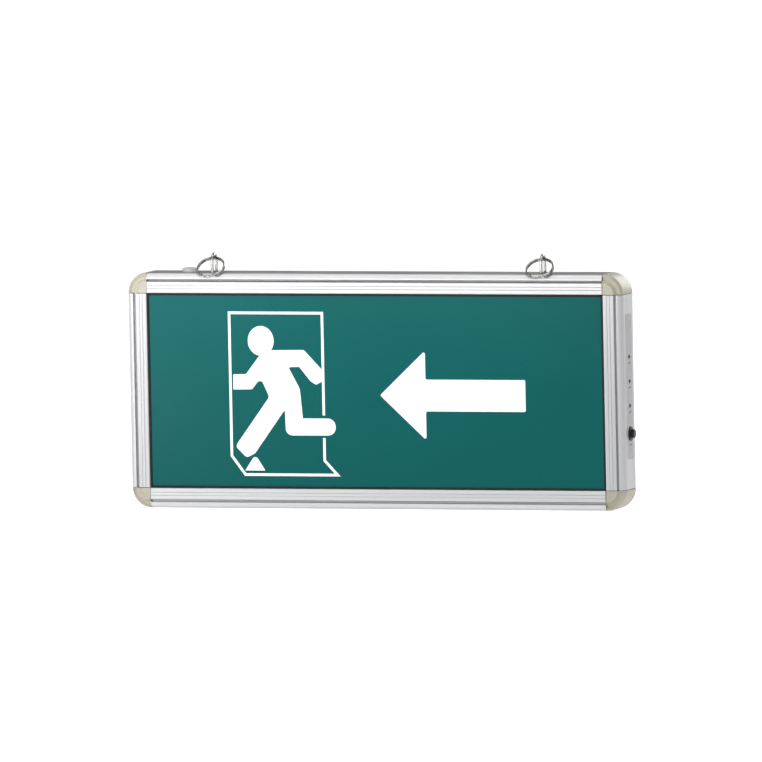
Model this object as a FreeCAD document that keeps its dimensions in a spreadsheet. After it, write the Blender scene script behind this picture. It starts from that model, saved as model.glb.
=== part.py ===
"""Hanging emergency exit light: an aluminium profile frame with moulded corners round a lit legend panel.

Millimetres. +X runs to the viewer's right along the face, +Y into the light, +Z up.
The origin is the middle of the underside. Every rail and corner is drawn in its own section
coordinates: u outwards from the edge of the visible panel, v from the middle plane to the back.
"""

import FreeCAD, Part
import Sketcher
import math
import os

from FreeCAD import Placement, Rotation, Vector

# ---------------------------------------------------------------- driving dimensions
SIZES = {
    "frame_width": 358, "frame_height": 163, "frame_depth": 28, "joint_gap": 0.4,
    "rail_width": 14, "rail_wall": 1.2, "band_radius": 4.2, "groove_width": 1.8, "groove_sink": 2.2,
    "groove_wall": 1.1, "hollow_chamfer": 0.8, "lip_radius": 0.9, "ridge_radius": 0.7,
    "line_width": 0.5, "line_sink": 0.3, "slot_depth": 7.0, "rib_thickness": 1.0, "rib_setback": 0.6,
    "legend_thickness": 2.0, "diffuser_thickness": 1.0, "panel_play": 0.1, "panel_insert": 6.5,
    "tongue_length": 14, "tongue_thickness": 3.0, "tongue_play": 0.1, "corner_core": 5.0,
    "corner_recess": 0.4, "corner_bead": 1.8, "corner_cove": 2.2, "corner_roll": 1.6,
    "guide_insert": 4.0, "guide_thickness": 4.0, "reflector_thickness": 0.5, "chassis_thickness": 0.8,
    "led_board_width": 5.0, "led_board_thickness": 1.0, "led_size": 2.8, "led_drop": 1.4,
    "led_count": 18, "led_end_gap": 3.0, "led_air": 0.4,
    "board_length": 92, "board_height": 52, "board_thickness": 1.6, "board_standoff": 3.0,
    "board_from_edge": 27, "board_low": 32, "board_corner_inset": 5.0, "part_gap": 4.0,
    "standoff_radius": 2.5, "screw_radius": 1.45, "screw_play": 0.05, "screw_head_radius": 2.7,
    "screw_head_height": 1.6, "transformer_from_side": 27.6, "transformer_length": 17,
    "transformer_height": 15, "transformer_depth": 7.0, "bobbin_over": 3.0, "bobbin_length": 8.5,
    "bobbin_depth": 5.6, "capacitor_radius": 3.1, "capacitor_length": 11, "capacitor_gap": 2.0,
    "relay_length": 12, "relay_height": 9, "relay_depth": 6.0,
    "terminal_length": 15, "terminal_height": 8, "terminal_depth": 7.5, "terminal_hole": 1.4,
    "terminal_hole_depth": 4.8, "terminal_ways": 3, "terminal_from_side": 13, "terminal_from_edge": 3.0,
    "cell_radius": 5.2, "cell_length": 44, "cell_gap": 0.6, "cell_play": 0.1, "cell_count": 3,
    "cell_nub_radius": 1.8, "cell_nub_length": 0.8, "battery_from_edge": 37, "battery_low": 34,
    "tray_wall": 1.2, "tray_play": 0.4, "tray_rise": 6.0,
    "indicator_radius": 1.5, "indicator_proud": 1.0, "indicator_play": 0.1, "indicator_rim": 0.4,
    "indicator_rim_depth": 0.8, "indicator_top": 105.5, "indicator_pitch": 16.9, "indicator_body": 7.0,
    "button_height": 52.5, "button_radius": 3.0, "button_proud": 2.6, "button_travel": 1.2,
    "button_play": 0.08, "button_flange": 0.8, "button_shoulder": 0.8, "cap_round": 0.5,
    "bezel_radius": 5.0, "bezel_thickness": 0.8, "bezel_neck": 4.0, "bezel_play": 0.1,
    "bezel_tail": 1.0, "bezel_round": 0.35, "switch_side": 6.0, "switch_body": 3.2,
    "plunger_radius": 1.7, "plunger_gap": 0.15,
    "side_board_width": 13, "side_board_length": 74, "side_board_thickness": 1.0,
    "eye_from_edge": 46, "eye_forward": 2.0, "eye_width": 9.0, "eye_wire": 2.0, "eye_rise": 13.4,
    "eye_leg_below": 3.6, "eye_play": 0.1, "washer_radius": 2.2, "washer_thickness": 0.8, "washer_play": 0.02,
    "ring_radius": 9.3, "ring_wire": 1.3, "ring_turn_gap": 0.12, "ring_axis_rise": 9.5,
    "ring_clearance": 0.3, "ring_jog": 60,
    "bush_from_edge": 28, "bush_radius": 5.7, "bush_bore": 3.0, "bush_neck": 3.95, "bush_play": 0.05,
    "bush_rise": 2.6, "bush_inner_radius": 5.2, "bush_inner_rise": 1.4, "bush_round": 1.0,
}

document = FreeCAD.newDocument("ExitLight")
sheet = document.addObject("Spreadsheet::Sheet", "Sizes")
for row, (alias, value) in enumerate(SIZES.items(), start=1):
    sheet.set(f"A{row}", alias)
    sheet.set(f"B{row}", str(value))
    sheet.setAlias(f"B{row}", alias)
document.recompute()

pieces = []


def size(alias):
    """The sheet's value for one named dimension."""
    return float(sheet.get(alias))


# Planes and edges that several pieces share.
half_width = size("frame_width") / 2
half_depth = size("frame_depth") / 2
top = size("frame_height")
rail = size("rail_width")
wall = size("rail_wall")
edge_x = half_width - rail
edge_low = rail
edge_high = top - rail
band = size("band_radius")
flat = rail - band - size("groove_width")
slot_gap = size("legend_thickness") + size("diffuser_thickness") + size("panel_play")
slot_out = half_depth - wall
slot_in = slot_out - slot_gap
channel = slot_in - size("rib_thickness")
hollow = rail - wall
chassis_front = -channel + size("panel_play") + size("guide_thickness") + size("reflector_thickness")
chassis_back = chassis_front + size("chassis_thickness")


def keep(label, item):
    """Names a finished piece and puts it on the list of pieces to export."""
    item.Label = label
    pieces.append(item)
    return item


# ---------------------------------------------------------------- drawing helpers
def new_body(name):
    return document.addObject("PartDesign::Body", name)


def new_sketch(body, role, name, centre=Vector(0, 0, 0)):
    """A sketch on one of the body's own origin planes, moved so that its plane passes through centre."""
    plane = next(f for f in body.Origin.OriginFeatures if f.Role == role)
    sketch = body.newObject("Sketcher::SketchObject", name)
    sketch.AttachmentSupport = (plane, [""])
    sketch.MapMode = "FlatFace"
    turn = {"XY_Plane": Rotation(), "XZ_Plane": Rotation(Vector(1, 0, 0), 90),
            "YZ_Plane": Rotation(Vector(1, 1, 1), 120)}[role]
    sketch.AttachmentOffset = Placement(turn.inverted().multVec(centre), Rotation())
    return sketch


def draw(sketch, start, path):
    """Draws a closed outline: each step is a corner (a, b), or a pair (middle, end) for an arc."""
    here = start
    for step in path + [start]:
        if isinstance(step[0], tuple):
            middle, end = step
            arc = Part.Arc(Vector(*here), Vector(*middle), Vector(*end))
            sketch.addGeometry(arc, False)
        else:
            end = step
            if math.dist(here, end) > 1e-6:
                sketch.addGeometry(Part.LineSegment(Vector(*here), Vector(*end)), False)
        here = end


def draw_hole(sketch, x, y, radius_alias, play_alias):
    """A clearance hole: its radius is bound to the sheet, as the radius of what goes through and its play."""
    radius = size(radius_alias) + size(play_alias)
    index = sketch.addGeometry(Part.Circle(Vector(x, y, 0), Vector(0, 0, 1), radius), False)
    rule = sketch.addConstraint(Sketcher.Constraint("Radius", index, radius))
    sketch.setExpression(f"Constraints[{rule}]", f"Sizes.{radius_alias} + Sizes.{play_alias}")


def pad(body, sketch, name, length, both_ways=False, backwards=False):
    """Extrudes a sketch by a length given as an expression of the sheet."""
    feature = body.newObject("PartDesign::Pad", name)
    feature.Profile = sketch
    feature.setExpression("Length", length)
    feature.Midplane = both_ways
    feature.Reversed = backwards
    return feature


def pocket(body, sketch, name, depth):
    feature = body.newObject("PartDesign::Pocket", name)
    feature.Profile = sketch
    feature.setExpression("Length", depth)
    return feature


def box(name, length, width, height, corner):
    """A block whose three sizes are expressions and whose lowest corner is given."""
    item = document.addObject("Part::Box", name)
    item.setExpression("Length", length)
    item.setExpression("Width", width)
    item.setExpression("Height", height)
    item.Placement.Base = corner
    return item


def cylinder(name, radius, height, base, along=Vector(0, 0, 1)):
    """A round bar from base, running along the given direction."""
    item = document.addObject("Part::Cylinder", name)
    item.setExpression("Radius", radius)
    item.setExpression("Height", height)
    item.Placement = Placement(base, Rotation(Vector(0, 0, 1), along))
    return item


def fuse(name, items):
    joined = document.addObject("Part::MultiFuse", name)
    joined.Shapes = items
    return joined


def cut(name, base, tool):
    rest = document.addObject("Part::Cut", name)
    rest.Base = base
    rest.Tool = tool
    return rest


def group(name, items):
    """Separate solids of one kind, kept apart in one piece."""
    together = document.addObject("Part::Compound", name)
    together.Links = items
    return together


# ---------------------------------------------------------------- the rail section
def band_point(u, side):
    """A point on the rounded outer band at distance u from the panel's edge."""
    across = u - (rail - band)
    return (u, side * (half_depth - band + math.sqrt(max(band * band - across * across, 0.0))))


def band_middle(start_u, side):
    """The middle point of the band's arc from start_u to the flat side of the rail."""
    start = math.acos((start_u - (rail - band)) / band)
    return ((rail - band) + band * math.cos(start / 2), side * (half_depth - band + band * math.sin(start / 2)))


def rail_front(side):
    """The rail's face on one side of the light, from the flat outer side round to the inner channel."""
    face = side * half_depth
    lip, ridge = size("lip_radius"), size("ridge_radius")
    groove_r, sink = size("groove_width") / 2, size("groove_sink")
    line, line_sink = size("line_width"), size("line_sink")
    bend = 1 - math.sqrt(0.5)
    out = [(band_middle(rail - band, side), (rail - band, face))]
    out.append((rail - band, face - side * sink))
    out.append(((flat + groove_r, face - side * (sink + groove_r)), (flat, face - side * sink)))
    out.append((flat, face - side * ridge))
    out.append(((flat - ridge * bend, face - side * ridge * bend), (flat - ridge, face)))
    for share in (2 / 3, 1 / 3):
        middle = lip + (flat - ridge - lip) * share
        out.append((middle + line / 2, face))
        out.append((middle, face - side * line_sink))
        out.append((middle - line / 2, face))
    out.append((lip, face))
    out.append(((lip * bend, face - side * lip * bend), (0.0, face - side * lip)))
    out.append((0.0, side * slot_out))
    out.append((size("slot_depth"), side * slot_out))
    out.append((size("slot_depth"), side * slot_in))
    out.append((size("rib_setback"), side * slot_in))
    out.append((size("rib_setback"), side * channel))
    web = size("slot_depth") + wall
    under_groove = half_depth - sink - groove_r - size("groove_wall")
    chamfer = size("hollow_chamfer")
    out.append((web, side * channel))
    out.append((web, side * under_groove))
    out.append((hollow - chamfer, side * under_groove))
    out.append((hollow, side * (under_groove - chamfer)))
    return out


def reverse_path(start, path):
    """The same outline walked the other way round."""
    ends = [start] + [step[1] if isinstance(step[0], tuple) else step for step in path]
    back = []
    for index in range(len(path) - 1, -1, -1):
        step = path[index]
        back.append((step[0], ends[index]) if isinstance(step[0], tuple) else ends[index])
    return ends[-1], back


def rail_outline():
    """The whole section: front face, open channel and the same face again at the back."""
    start = (rail, -(half_depth - band))
    front = rail_front(-1)
    back_start, back = reverse_path((rail, half_depth - band), rail_front(1))
    return start, front + [back_start] + back


def placed(step, where):
    """Maps an outline step into a sketch with the function where(u, v)."""
    if isinstance(step[0], tuple):
        return (where(*step[0]), where(*step[1]))
    return where(*step)


def make_rail(name, role, centre, where, length):
    """An aluminium profile, drawn as its section and extruded both ways from the middle."""
    body = new_body(name)
    sketch = new_sketch(body, role, name + "_section", centre)
    start, path = rail_outline()
    draw(sketch, where(*start), [placed(step, where) for step in path])
    pad(body, sketch, name + "_extrusion", length, both_ways=True)
    return keep(name, body)


across = "Sizes.frame_width - 2 * Sizes.rail_width - 2 * Sizes.joint_gap"
upright = "Sizes.frame_height - 2 * Sizes.rail_width - 2 * Sizes.joint_gap"
middle = Vector(0, 0, top / 2)
top_rail = make_rail("top_rail", "YZ_Plane", Vector(), lambda u, v: (v, edge_high + u), across)
make_rail("bottom_rail", "YZ_Plane", Vector(), lambda u, v: (v, edge_low - u), across)
make_rail("left_rail", "XY_Plane", middle, lambda u, v: (-edge_x - u, v), upright)
right_rail = make_rail("right_rail", "XY_Plane", middle, lambda u, v: (edge_x + u, v), upright)

# Holes in the top rail for the two hanging eyes and the cable bush.
eye_x = edge_x - size("eye_from_edge")
leg_ys = [-size("eye_forward") - size("eye_width") / 2, -size("eye_forward") + size("eye_width") / 2]
eye_r = size("eye_wire") / 2
holes = new_sketch(top_rail, "XY_Plane", "top_holes", Vector(0, 0, top))
for x in (-eye_x, eye_x):
    for y in leg_ys:
        hole = Part.Circle(Vector(x, y, 0), Vector(0, 0, 1), eye_r + size("eye_play"))
        holes.addGeometry(hole, False)
bush_x = size("bush_from_edge") - edge_x
draw_hole(holes, bush_x, 0, "bush_neck", "bush_play")
pocket(top_rail, holes, "top_hole_pocket", "2 * Sizes.rail_wall")

# Holes in the right rail for the three indicators and the test button's bezel.
indicator_z = [size("indicator_top") - i * size("indicator_pitch") for i in range(3)]
button_z = size("button_height")
holes = new_sketch(right_rail, "YZ_Plane", "side_holes", Vector(half_width, 0, 0))
for z in indicator_z:
    draw_hole(holes, 0, z, "indicator_radius", "indicator_play")
draw_hole(holes, 0, button_z, "bezel_neck", "bezel_play")
pocket(right_rail, holes, "side_hole_pocket", "2 * Sizes.rail_wall")


# ---------------------------------------------------------------- the corner mouldings
def corner_front(side):
    """The moulding's face: a sunk quarter disc, a bead, a cove and the rail's rounded outer band."""
    face = side * half_depth
    recess, cove = size("corner_recess"), size("corner_cove")
    bead = flat - size("corner_bead") + size("corner_recess")
    roll = rail - size("corner_roll")
    out = [(band_middle(roll, side), band_point(roll, side))]
    cove_u = (bead + size("corner_bead") + roll) / 2
    out.append(((cove_u, face - side * cove), (bead + size("corner_bead"), face - side * recess)))
    out.append(((bead + size("corner_bead") / 2, face), (bead, face - side * recess)))
    out.append((0.0, face - side * recess))
    out.append((0.0, side * slot_out))
    out.append((size("slot_depth"), side * slot_out))
    out.append((size("slot_depth"), side * slot_in))
    out.append((size("rib_setback"), side * slot_in))
    out.append((size("rib_setback"), side * channel))
    out.append((size("corner_core"), side * channel))
    return out


def make_corner(name, x, z, turn):
    """A plastic corner: a quarter turn of its section, with a tongue into each of its two rails."""
    body = new_body(name)
    sketch = new_sketch(body, "XY_Plane", name + "_section")
    start = (rail, -(half_depth - band))
    back_start, back = reverse_path((rail, half_depth - band), corner_front(1))
    draw(sketch, start, corner_front(-1) + [back_start] + back)
    quarter = body.newObject("PartDesign::Revolution", name + "_quarter")
    quarter.Profile = sketch
    quarter.ReferenceAxis = (sketch, ["V_Axis"])
    quarter.Angle = 90
    quarter.Reversed = False
    tongue_out = hollow - size("tongue_play")
    tongue_in = tongue_out - size("tongue_thickness")
    reach = channel - size("tongue_play")
    upper = new_sketch(body, "XY_Plane", name + "_upper_tongue")
    draw(upper, (tongue_in, -reach), [(tongue_out, -reach), (tongue_out, reach), (tongue_in, reach)])
    pad(body, upper, name + "_upper", "Sizes.tongue_length")
    lower = new_sketch(body, "YZ_Plane", name + "_side_tongue")
    draw(lower, (-reach, -tongue_in), [(-reach, -tongue_out), (reach, -tongue_out), (reach, -tongue_in)])
    pad(body, lower, name + "_side", "Sizes.tongue_length", backwards=True)
    body.Placement = Placement(Vector(x, 0, z), Rotation(Vector(0, 1, 0), turn))
    return keep(name, body)


make_corner("corner_bottom_right", edge_x, edge_low, 0)
make_corner("corner_bottom_left", -edge_x, edge_low, 90)
make_corner("corner_top_left", -edge_x, edge_high, 180)
make_corner("corner_top_right", edge_x, edge_high, 270)


# ---------------------------------------------------------------- panels and sheets
def make_plate(name, insert_alias, front_y, thickness):
    """A flat sheet that reaches insert past the panel's visible edge, its corners rounded to match."""
    insert = size(insert_alias)
    body = new_body(name)
    sketch = new_sketch(body, "XZ_Plane", name + "_outline", Vector(0, front_y, 0))
    bend = insert * (1 - math.sqrt(0.5))
    left, right = -edge_x - insert, edge_x + insert
    low, high = edge_low - insert, edge_high + insert
    path = [
        (edge_x, low), ((right - bend, low + bend), (right, edge_low)),
        (right, edge_high), ((right - bend, high - bend), (edge_x, high)),
        (-edge_x, high), ((left + bend, high - bend), (left, edge_high)),
        (left, edge_low), ((left + bend, low + bend), (-edge_x, low)),
    ]
    draw(sketch, (-edge_x, low), path)
    pad(body, sketch, name + "_pad", thickness, backwards=True)
    return body


play = size("panel_play") / 2
keep("legend_panel", make_plate("legend", "panel_insert", -slot_out + play, "Sizes.legend_thickness"))
keep("diffuser_sheet", make_plate("diffuser", "panel_insert", -slot_in - play - size("diffuser_thickness"),
                                  "Sizes.diffuser_thickness"))
keep("rear_panel", make_plate("rear", "panel_insert", slot_in + play,
                              "Sizes.legend_thickness + Sizes.diffuser_thickness"))
guide_front = -channel + size("panel_play")
keep("light_guide", make_plate("guide", "guide_insert", guide_front, "Sizes.guide_thickness"))
keep("reflector_sheet", make_plate("reflector", "guide_insert", guide_front + size("guide_thickness"),
                                   "Sizes.reflector_thickness"))

# The chassis is a steel sheet behind the reflector, with a flange folded forward over the light guide.
guide_top = edge_high + size("guide_insert")
led_length = 2 * (edge_x - size("tongue_length") - size("led_end_gap"))
led_span = "(Sizes.frame_width - 2 * Sizes.rail_width - 2 * Sizes.tongue_length - 2 * Sizes.led_end_gap)"
board_z = guide_top + size("led_air") + size("led_drop")
flange_z = board_z + size("led_board_thickness")
web = make_plate("chassis_web", "guide_insert", chassis_front, "Sizes.chassis_thickness")
riser = box("chassis_riser", led_span, "Sizes.chassis_thickness",
            "Sizes.led_air + Sizes.led_drop + Sizes.led_board_thickness + Sizes.chassis_thickness",
            Vector(-led_length / 2, chassis_front, guide_top))
flange = box("chassis_flange", led_span,
             "Sizes.guide_thickness + Sizes.reflector_thickness + Sizes.chassis_thickness",
             "Sizes.chassis_thickness", Vector(-led_length / 2, guide_front, flange_z))

# Standoffs rise from the chassis at the charger board's corners.
board_x = edge_x - size("board_from_edge") - size("board_length")
board_front = chassis_back + size("board_standoff")
inset = size("board_corner_inset")
screw_places = [
    (board_x + inset + i * (size("board_length") - 2 * inset),
     size("board_low") + inset + j * (size("board_height") - 2 * inset))
    for i in (0, 1) for j in (0, 1)
]
into = Vector(0, 1, 0)
standoffs = [
    cylinder(f"standoff_{n}", "Sizes.standoff_radius", "Sizes.board_standoff", Vector(x, chassis_back, z), into)
    for n, (x, z) in enumerate(screw_places)
]
taps = [
    cylinder(f"standoff_tap_{n}", "Sizes.screw_radius", "Sizes.board_standoff", Vector(x, chassis_back, z), into)
    for n, (x, z) in enumerate(screw_places)
]
blank = fuse("chassis_blank", [web, riser, flange] + standoffs)
keep("chassis", cut("chassis_tapped", blank, fuse("standoff_taps", taps)))

# ---------------------------------------------------------------- lamps
keep("led_board", box("led_strip", led_span, "Sizes.led_board_width - Sizes.reflector_thickness",
                      "Sizes.led_board_thickness", Vector(-led_length / 2, guide_front, board_z)))
count = int(size("led_count"))
led_pitch = led_length / count
leds = [
    box(f"led_{n}", "Sizes.led_size", "Sizes.led_size", "Sizes.led_drop",
        Vector(-led_length / 2 + (n + 0.5) * led_pitch - size("led_size") / 2,
               guide_front + (size("guide_thickness") - size("led_size")) / 2, board_z - size("led_drop")))
    for n in range(count)
]
keep("led_lamps", group("led_row", leds))

# ---------------------------------------------------------------- charger board and what it carries
card = box("charger_card", "Sizes.board_length", "Sizes.board_thickness", "Sizes.board_height",
           Vector(board_x, board_front, size("board_low")))
card_holes = [
    cylinder(f"card_hole_{n}", "Sizes.screw_radius", "Sizes.board_thickness", Vector(x, board_front, z), into)
    for n, (x, z) in enumerate(screw_places)
]
keep("charger_board", cut("charger_drilled", card, fuse("card_holes", card_holes)))
parts_y = board_front + size("board_thickness")
screws = []
for n, (x, z) in enumerate(screw_places):
    shank = cylinder(f"screw_shank_{n}", "Sizes.screw_radius - Sizes.screw_play",
                     "Sizes.board_thickness + Sizes.board_standoff", Vector(x, chassis_back, z), into)
    head = cylinder(f"screw_head_{n}", "Sizes.screw_head_radius", "Sizes.screw_head_height",
                    Vector(x, parts_y, z), into)
    screws.append(fuse(f"screw_{n}", [shank, head]))
keep("board_screws", group("board_screw_set", screws))

low = size("board_low")
mid_z = low + size("board_height") / 2
core_x = board_x + size("transformer_from_side")
core = box("transformer_core", "Sizes.transformer_length", "Sizes.transformer_depth",
           "Sizes.transformer_height",
           Vector(core_x, parts_y, mid_z - size("transformer_height") / 2))
bobbin = box("transformer_bobbin", "Sizes.bobbin_length", "Sizes.bobbin_depth",
             "Sizes.transformer_height + 2 * Sizes.bobbin_over",
             Vector(core_x + (size("transformer_length") - size("bobbin_length")) / 2, parts_y,
                    mid_z - size("transformer_height") / 2 - size("bobbin_over")))
keep("transformer", fuse("transformer_wound", [core, bobbin]))
can_r = size("capacitor_radius")
can_x = core_x + size("transformer_length") + size("part_gap") + can_r
can_step = 2 * can_r + size("capacitor_gap")
capacitors = [
    cylinder(f"capacitor_{n}", "Sizes.capacitor_radius", "Sizes.capacitor_length",
             Vector(can_x + n * can_step, parts_y + can_r, mid_z - size("capacitor_length") / 2))
    for n in range(2)
]
keep("capacitors", group("capacitor_pair", capacitors))
relay_x = can_x + can_step + can_r + size("part_gap")
keep("relay", box("relay_case", "Sizes.relay_length", "Sizes.relay_depth", "Sizes.relay_height",
                  Vector(relay_x, parts_y, mid_z - size("relay_height") / 2)))
terminal_x = board_x + size("terminal_from_side")
block = box("terminal_case", "Sizes.terminal_length", "Sizes.terminal_depth", "Sizes.terminal_height",
            Vector(terminal_x, parts_y, low + size("terminal_from_edge")))
ways = int(size("terminal_ways"))
wire_holes = [
    cylinder(f"terminal_hole_{n}", "Sizes.terminal_hole", "Sizes.terminal_hole_depth",
             Vector(terminal_x + (n + 0.5) * size("terminal_length") / ways,
                    parts_y + size("terminal_depth") / 2, low + size("terminal_from_edge")))
    for n in range(ways)
]
keep("terminal_block", cut("terminal_drilled", block, fuse("terminal_holes", wire_holes)))

# ---------------------------------------------------------------- battery
cell_r = size("cell_radius")
cell_step = 2 * cell_r + size("cell_gap")
tray_wall = size("tray_wall")
battery_x = size("battery_from_edge") - edge_x
cell_y = chassis_back + tray_wall + cell_r + size("cell_play")
along = Vector(1, 0, 0)
cells = []
for n in range(int(size("cell_count"))):
    z = size("battery_low") + cell_r + n * cell_step
    can = cylinder(f"cell_can_{n}", "Sizes.cell_radius", "Sizes.cell_length",
                   Vector(battery_x, cell_y, z), along)
    nub = cylinder(f"cell_nub_{n}", "Sizes.cell_nub_radius", "Sizes.cell_nub_length",
                   Vector(battery_x + size("cell_length"), cell_y, z), along)
    cells.append(fuse(f"cell_{n}", [can, nub]))
keep("battery_cells", group("battery_stack", cells))
stack = "Sizes.cell_count * (2 * Sizes.cell_radius + Sizes.cell_gap) - Sizes.cell_gap + 2 * Sizes.tray_play"
run = "Sizes.cell_length + Sizes.cell_nub_length + 2 * Sizes.tray_play"
tray_at = Vector(battery_x - size("tray_play") - tray_wall, chassis_back,
                 size("battery_low") - size("tray_play") - tray_wall)
shell = box("tray_shell", run + " + 2 * Sizes.tray_wall", "Sizes.tray_rise + Sizes.tray_wall",
            stack + " + 2 * Sizes.tray_wall", tray_at)
room = box("tray_room", run, "Sizes.tray_rise + Sizes.tray_wall", stack,
           tray_at + Vector(tray_wall, tray_wall, tray_wall))
keep("battery_tray", cut("tray_hollow", shell, room))

# ---------------------------------------------------------------- side board, indicators and test button
inner_x = half_width - wall
seat_x = inner_x - size("indicator_body")
keep("side_board", box("side_card", "Sizes.side_board_thickness", "Sizes.side_board_width",
                       "Sizes.side_board_length",
                       Vector(seat_x - size("side_board_thickness"), -size("side_board_width") / 2,
                              button_z - size("side_board_width") / 2)))
for name, z in zip(("indicator_mains", "indicator_charge", "indicator_fault"), indicator_z):
    rim = cylinder(name + "_rim", "Sizes.indicator_radius + Sizes.indicator_rim", "Sizes.indicator_rim_depth",
                   Vector(seat_x, 0, z), along)
    stem = cylinder(name + "_stem", "Sizes.indicator_radius",
                    "Sizes.indicator_body + Sizes.rail_wall + Sizes.indicator_proud - Sizes.indicator_radius",
                    Vector(seat_x, 0, z), along)
    dome = document.addObject("Part::Sphere", name + "_dome")
    dome.setExpression("Radius", "Sizes.indicator_radius")
    dome.Placement.Base = Vector(half_width + size("indicator_proud") - size("indicator_radius"), 0, z)
    keep(name, fuse(name + "_lens", [rim, stem, dome]))


def make_turned(name, outline_start, path, place):
    """A round piece turned about its own axis: x along the axis, y the radius."""
    body = new_body(name)
    sketch = new_sketch(body, "XY_Plane", name + "_half_section")
    draw(sketch, outline_start, path)
    turned = body.newObject("PartDesign::Revolution", name + "_turning")
    turned.Profile = sketch
    turned.ReferenceAxis = (sketch, ["H_Axis"])
    turned.Angle = 360
    body.Placement = place
    return keep(name, body)


def arc_corner(corner, toward_start, toward_end, radius):
    """Start, middle and end of a round corner between two directions at right angles."""
    first = (corner[0] + toward_start[0] * radius, corner[1] + toward_start[1] * radius)
    last = (corner[0] + toward_end[0] * radius, corner[1] + toward_end[1] * radius)
    centre = (first[0] + toward_end[0] * radius, first[1] + toward_end[1] * radius)
    share = math.sqrt(0.5)
    middle_point = (centre[0] + (corner[0] - centre[0]) * share, centre[1] + (corner[1] - centre[1]) * share)
    return first, (middle_point, last)


# The bezel is a round flange on the rail with a neck through it; the button slides in the bezel.
bore = size("button_radius") + size("button_play")
bezel_out, neck = size("bezel_radius"), size("bezel_neck")
bezel_end = -wall - size("bezel_tail")
thick = size("bezel_thickness")
rim_start, rim_arc = arc_corner((thick, bezel_out), (0, -1), (-1, 0), size("bezel_round"))
make_turned("button_bezel", (bezel_end, bore),
            [(thick, bore), rim_start, rim_arc, (0.0, bezel_out), (0.0, neck), (bezel_end, neck)],
            Placement(Vector(half_width, 0, button_z), Rotation()))
proud = thick + size("button_proud")
stop = bezel_end - size("button_play")
tail = stop - size("button_flange")
shoulder = size("button_radius") + size("button_shoulder")
cap_start, cap_arc = arc_corner((proud, size("button_radius")), (-1, 0), (0, -1), size("cap_round"))
make_turned("test_button", (tail, 0.0),
            [(tail, shoulder), (stop, shoulder),
             (stop, size("button_radius")), cap_start, cap_arc, (proud, 0.0)],
            Placement(Vector(half_width, 0, button_z), Rotation()))
# The push switch stands on the side board, its plunger just beyond the button's full travel.
half_side = size("switch_side") / 2
case = box("switch_case", "Sizes.switch_body", "Sizes.switch_side", "Sizes.switch_side",
           Vector(seat_x, -half_side, button_z - half_side))
plunger_end = half_width + tail - size("button_travel") - size("plunger_gap")
plunger = cylinder("switch_plunger", "Sizes.plunger_radius", str(plunger_end - seat_x),
                   Vector(seat_x, 0, button_z), along)
keep("test_switch", fuse("switch_body", [case, plunger]))

# ---------------------------------------------------------------- hanging eyes
arch_r = size("eye_width") / 2
arch_y = -size("eye_forward")
arch_z = top + size("eye_rise") - eye_r - arch_r


def make_eye(name, x):
    """A wire staple: two legs through the rail and a half turn of the same wire over them."""
    body = new_body(name)
    foot = top - size("eye_leg_below")
    section = new_sketch(body, "XY_Plane", name + "_wire", Vector(x, 0, foot))
    circle = Part.Circle(Vector(0, leg_ys[0], 0), Vector(0, 0, 1), eye_r)
    section.addGeometry(circle, False)
    path = new_sketch(body, "YZ_Plane", name + "_path", Vector(x, 0, 0))
    path.addGeometry(Part.LineSegment(Vector(leg_ys[0], foot, 0), Vector(leg_ys[0], arch_z, 0)), False)
    path.addGeometry(Part.Arc(Vector(leg_ys[0], arch_z, 0), Vector(arch_y, arch_z + arch_r, 0),
                              Vector(leg_ys[1], arch_z, 0)), False)
    path.addGeometry(Part.LineSegment(Vector(leg_ys[1], arch_z, 0), Vector(leg_ys[1], foot, 0)), False)
    wire = body.newObject("PartDesign::AdditivePipe", name + "_bend")
    wire.Profile = section
    wire.Spine = (path, ["Edge1", "Edge2", "Edge3"])
    return keep(name, body)


make_eye("left_eye", -eye_x)
make_eye("right_eye", eye_x)

washers = []
for n, (x, y) in enumerate([(x, y) for x in (-eye_x, eye_x) for y in leg_ys]):
    under = Vector(x, y, top - wall - size("washer_thickness"))
    disc = cylinder(f"washer_disc_{n}", "Sizes.washer_radius", "Sizes.washer_thickness", under)
    hole = cylinder(f"washer_hole_{n}", "Sizes.eye_wire / 2 + Sizes.washer_play", "Sizes.washer_thickness", under)
    washers.append(cut(f"washer_{n}", disc, hole))
keep("eye_washers", group("eye_washer_set", washers))

# ---------------------------------------------------------------- split rings
# Each ring lies forward on the rail's rounded front edge. Its axis runs along X through the eye.
axis_z = top + size("ring_axis_rise")
wire_r = size("ring_wire") / 2
turn_step = size("ring_wire") + size("ring_turn_gap")
stack_half = turn_step / 2 + wire_r


def lean_on(side):
    """How far below level the ring leans where it meets the rail's rounded edge, front (-1) or back (1)."""
    out = half_depth - band - side * arch_y
    down = size("ring_axis_rise") + band
    clear = band + stack_half + size("ring_clearance")
    return math.degrees(math.acos(clear / math.hypot(out, down)) - math.atan2(out, down))


lean = lean_on(-1)


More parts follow.
